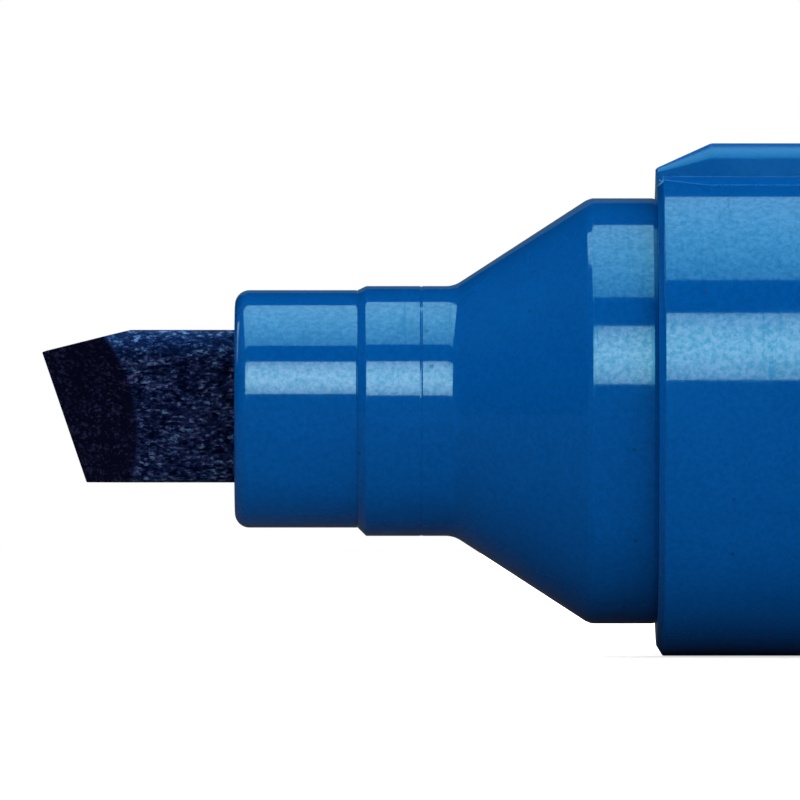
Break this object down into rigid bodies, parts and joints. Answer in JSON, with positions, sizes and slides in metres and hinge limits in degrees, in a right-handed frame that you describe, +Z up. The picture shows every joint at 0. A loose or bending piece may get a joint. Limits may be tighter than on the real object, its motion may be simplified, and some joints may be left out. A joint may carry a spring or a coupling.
{
  "type": "permanent marker",
  "caption": "Round-barrelled permanent marker with a slanted chisel nib, a rib along the barrel and a flat-sided cap posted on its rear end, ready to write.",
  "frame": {"origin": "on the surface that the marker lies on, under the middle of its whole length", "axes": "+X from the nib towards the cap, +Z up through the rib along the barrel"},
  "size_m": [0.1304, 0.0174, 0.0169],
  "materials": {
    "blue_plastic": "glossy moulded blue plastic",
    "inked_felt": "pressed felt soaked with blue ink",
    "inked_fibre": "bonded fibre soaked with blue ink",
    "clear_film": "thin clear film",
    "natural_plastic": "uncoloured moulded plastic"
  },
  "bodies": {
    "pen": {"nib": "inked_felt", "nib_sleeve": "blue_plastic", "front_section": "blue_plastic", "barrel": "blue_plastic", "ink_reservoir": "inked_fibre", "reservoir_wrap": "clear_film", "rear_plug": "blue_plastic"},
    "cap": {"cap_shell": "blue_plastic", "cap_liner": "natural_plastic"}
  },
  "joints": [
    {"name": "cap_pull", "type": "slide", "parent": "pen", "child": "cap", "axis": [1, 0, 0], "range_m": [0, 0.014]}
  ]
}
